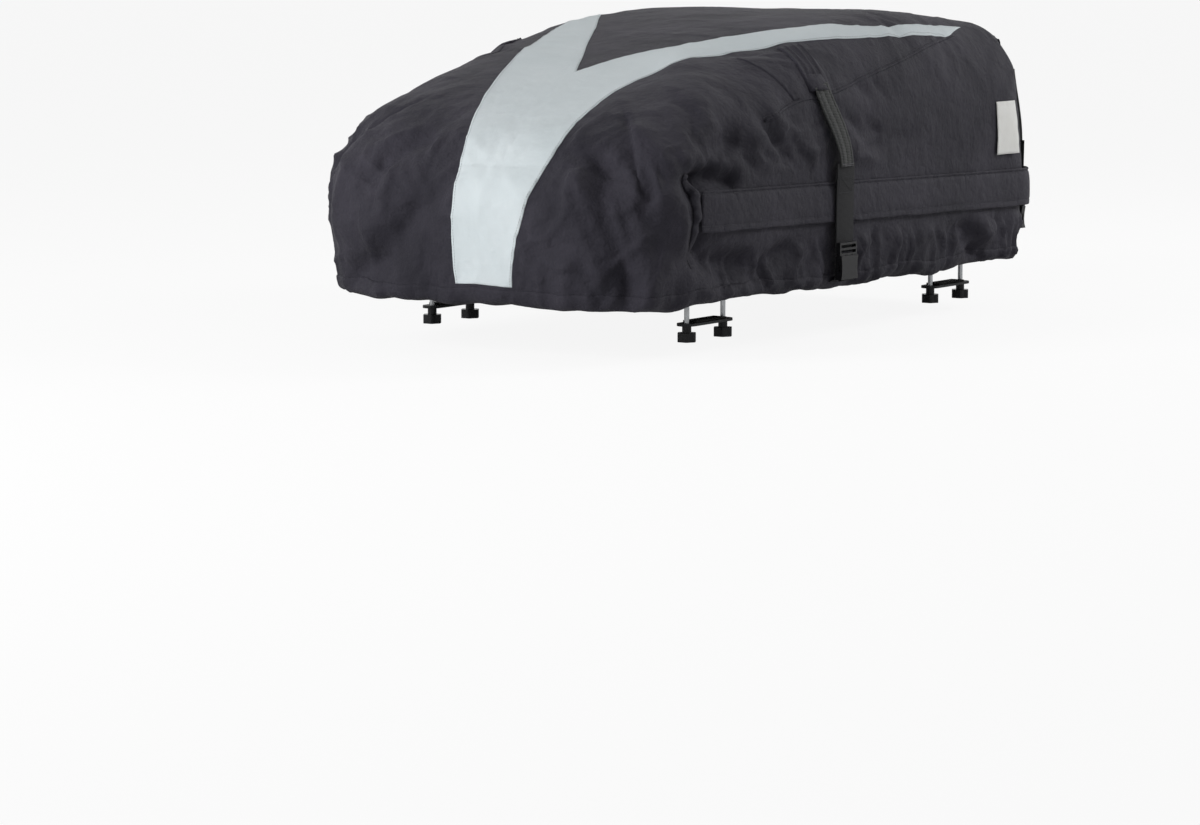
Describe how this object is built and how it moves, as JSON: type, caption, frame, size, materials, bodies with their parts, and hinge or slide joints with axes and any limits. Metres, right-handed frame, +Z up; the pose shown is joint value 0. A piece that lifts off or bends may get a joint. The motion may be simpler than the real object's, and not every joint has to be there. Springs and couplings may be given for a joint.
{
  "type": "roof cargo bag",
  "caption": "Soft, filled roof cargo bag with a sloping nose, zip under a weather flap, buckled straps and screw clamps for crossbars.",
  "frame": {"origin": "centre of the front pad's underside, where it lies on the front crossbar", "axes": "+X to the bag's left side, +Y from the nose to the rear, +Z up"},
  "size_m": [0.7066, 1.2406, 0.4832],
  "materials": {
    "shell_cloth": "black woven polyester, slight sheen",
    "stripe_cloth": "pale grey coated cloth",
    "webbing": "black woven webbing",
    "sleeve_webbing": "grey webbing with raised edges",
    "black_plastic": "moulded, satin",
    "zip_plastic": "moulded teeth",
    "zinc": "zinc plated",
    "painted_steel": "black powder coat",
    "rubber": "matt",
    "label_cloth": "plain woven tape, blank"
  },
  "bodies": {
    "bag": {"bag_body": "shell_cloth", "blank_label": "label_cloth", "front_bar_pad": "rubber", "front_left_bolt_a": "zinc", "front_left_bolt_b": "zinc", "front_right_bolt_a": "zinc", "front_right_bolt_b": "zinc", "left_rear_buckle_socket": "black_plastic", "left_rear_lower_webbing": "webbing", "left_rear_strap": "webbing", "left_rear_strap_sleeve": "sleeve_webbing", "left_roof_patch": "shell_cloth", "left_side_buckle_socket": "black_plastic", "left_side_lower_webbing": "webbing", "left_side_strap": "webbing", "left_side_strap_sleeve": "sleeve_webbing", "rear_bar_pad": "rubber", "rear_left_bolt_a": "zinc", "rear_left_bolt_b": "zinc", "rear_right_bolt_a": "zinc", "rear_right_bolt_b": "zinc", "right_rear_buckle_socket": "black_plastic", "right_rear_lower_webbing": "webbing", "right_rear_strap": "webbing", "right_rear_strap_sleeve": "sleeve_webbing", "right_roof_patch": "shell_cloth", "right_side_buckle_socket": "black_plastic", "right_side_lower_webbing": "webbing", "right_side_strap": "webbing", "right_side_strap_sleeve": "sleeve_webbing", "stripe": "stripe_cloth", "weather_flap": "shell_cloth", "zip_chain": "zip_plastic"},
    "left_side_buckle": {"left_side_buckle_ladder": "black_plastic"},
    "right_side_buckle": {"right_side_buckle_ladder": "black_plastic"},
    "left_rear_buckle": {"left_rear_buckle_ladder": "black_plastic"},
    "right_rear_buckle": {"right_rear_buckle_ladder": "black_plastic"},
    "left_slider": {"left_zip_slider": "zinc"},
    "left_pull": {"left_zip_pull": "zinc"},
    "right_slider": {"right_zip_slider": "zinc"},
    "right_pull": {"right_zip_pull": "zinc"},
    "front_left_clamp": {"front_left_clamp_plate": "painted_steel", "front_left_clamp_grip": "rubber"},
    "front_left_knob_a": {"front_left_knob_a": "black_plastic"},
    "front_left_knob_b": {"front_left_knob_b": "black_plastic"},
    "front_right_clamp": {"front_right_clamp_plate": "painted_steel", "front_right_clamp_grip": "rubber"},
    "front_right_knob_a": {"front_right_knob_a": "black_plastic"},
    "front_right_knob_b": {"front_right_knob_b": "black_plastic"},
    "rear_left_clamp": {"rear_left_clamp_plate": "painted_steel", "rear_left_clamp_grip": "rubber"},
    "rear_left_knob_a": {"rear_left_knob_a": "black_plastic"},
    "rear_left_knob_b": {"rear_left_knob_b": "black_plastic"},
    "rear_right_clamp": {"rear_right_clamp_plate": "painted_steel", "rear_right_clamp_grip": "rubber"},
    "rear_right_knob_a": {"rear_right_knob_a": "black_plastic"},
    "rear_right_knob_b": {"rear_right_knob_b": "black_plastic"}
  },
  "joints": [
    {"name": "left_side_buckle_release", "type": "slide", "parent": "bag", "child": "left_side_buckle", "axis": [0, 0, 1], "range_m": [0, 0.034]},
    {"name": "right_side_buckle_release", "type": "slide", "parent": "bag", "child": "right_side_buckle", "axis": [0, 0, 1], "range_m": [0, 0.034]},
    {"name": "left_rear_buckle_release", "type": "slide", "parent": "bag", "child": "left_rear_buckle", "axis": [0, 0, 1], "range_m": [0, 0.034]},
    {"name": "right_rear_buckle_release", "type": "slide", "parent": "bag", "child": "right_rear_buckle", "axis": [0, 0, 1], "range_m": [0, 0.034]},
    {"name": "left_zip_run", "type": "slide", "parent": "bag", "child": "left_slider", "axis": [1, 0, 0], "range_m": [0, 0.15]},
    {"name": "left_pull_swing", "type": "hinge", "parent": "left_slider", "child": "left_pull", "pos_m": [0.007, 0.9228, 0.126], "axis": [1, 0, 0], "range_deg": [0, 1.6]},
    {"name": "right_zip_run", "type": "slide", "parent": "bag", "child": "right_slider", "axis": [-1, 0, 0], "range_m": [0, 0.15]},
    {"name": "right_pull_swing", "type": "hinge", "parent": "right_slider", "child": "right_pull", "pos_m": [-0.007, 0.9228, 0.126], "axis": [1, 0, 0], "range_deg": [0, 1.6]},
    {"name": "front_left_clamp_travel", "type": "slide", "parent": "bag", "child": "front_left_clamp", "axis": [0, 0, -1], "range_m": [0, 0.018]},
    {"name": "front_left_knob_a_turn", "type": "hinge", "parent": "front_left_clamp", "child": "front_left_knob_a", "pos_m": [0.24, -0.05, -0.05], "axis": [0, 0, 1], "range_deg": [0, 5184]},
    {"name": "front_left_knob_b_turn", "type": "hinge", "parent": "front_left_clamp", "child": "front_left_knob_b", "pos_m": [0.24, 0.05, -0.05], "axis": [0, 0, 1], "range_deg": [0, 5184]},
    {"name": "front_right_clamp_travel", "type": "slide", "parent": "bag", "child": "front_right_clamp", "axis": [0, 0, -1], "range_m": [0, 0.018]},
    {"name": "front_right_knob_a_turn", "type": "hinge", "parent": "front_right_clamp", "child": "front_right_knob_a", "pos_m": [-0.24, -0.05, -0.05], "axis": [0, 0, 1], "range_deg": [0, 5184]},
    {"name": "front_right_knob_b_turn", "type": "hinge", "parent": "front_right_clamp", "child": "front_right_knob_b", "pos_m": [-0.24, 0.05, -0.05], "axis": [0, 0, 1], "range_deg": [0, 5184]},
    {"name": "rear_left_clamp_travel", "type": "slide", "parent": "bag", "child": "rear_left_clamp", "axis": [0, 0, -1], "range_m": [0, 0.018]},
    {"name": "rear_left_knob_a_turn", "type": "hinge", "parent": "rear_left_clamp", "child": "rear_left_knob_a", "pos_m": [0.24, 0.682, -0.05], "axis": [0, 0, 1], "range_deg": [0, 5184]},
    {"name": "rear_left_knob_b_turn", "type": "hinge", "parent": "rear_left_clamp", "child": "rear_left_knob_b", "pos_m": [0.24, 0.782, -0.05], "axis": [0, 0, 1], "range_deg": [0, 5184]},
    {"name": "rear_right_clamp_travel", "type": "slide", "parent": "bag", "child": "rear_right_clamp", "axis": [0, 0, -1], "range_m": [0, 0.018]},
    {"name": "rear_right_knob_a_turn", "type": "hinge", "parent": "rear_right_clamp", "child": "rear_right_knob_a", "pos_m": [-0.24, 0.682, -0.05], "axis": [0, 0, 1], "range_deg": [0, 5184]},
    {"name": "rear_right_knob_b_turn", "type": "hinge", "parent": "rear_right_clamp", "child": "rear_right_knob_b", "pos_m": [-0.24, 0.782, -0.05], "axis": [0, 0, 1], "range_deg": [0, 5184]}
  ],
  "couplings": [
    {"joint": "front_left_clamp_travel", "follows": "front_left_knob_a_turn", "m_per_rad": 0.00019894},
    {"joint": "front_left_knob_b_turn", "follows": "front_left_knob_a_turn", "ratio": 1},
    {"joint": "front_right_clamp_travel", "follows": "front_right_knob_a_turn", "m_per_rad": 0.00019894},
    {"joint": "front_right_knob_b_turn", "follows": "front_right_knob_a_turn", "ratio": 1},
    {"joint": "rear_left_clamp_travel", "follows": "rear_left_knob_a_turn", "m_per_rad": 0.00019894},
    {"joint": "rear_left_knob_b_turn", "follows": "rear_left_knob_a_turn", "ratio": 1},
    {"joint": "rear_right_clamp_travel", "follows": "rear_right_knob_a_turn", "m_per_rad": 0.00019894},
    {"joint": "rear_right_knob_b_turn", "follows": "rear_right_knob_a_turn", "ratio": 1}
  ]
}
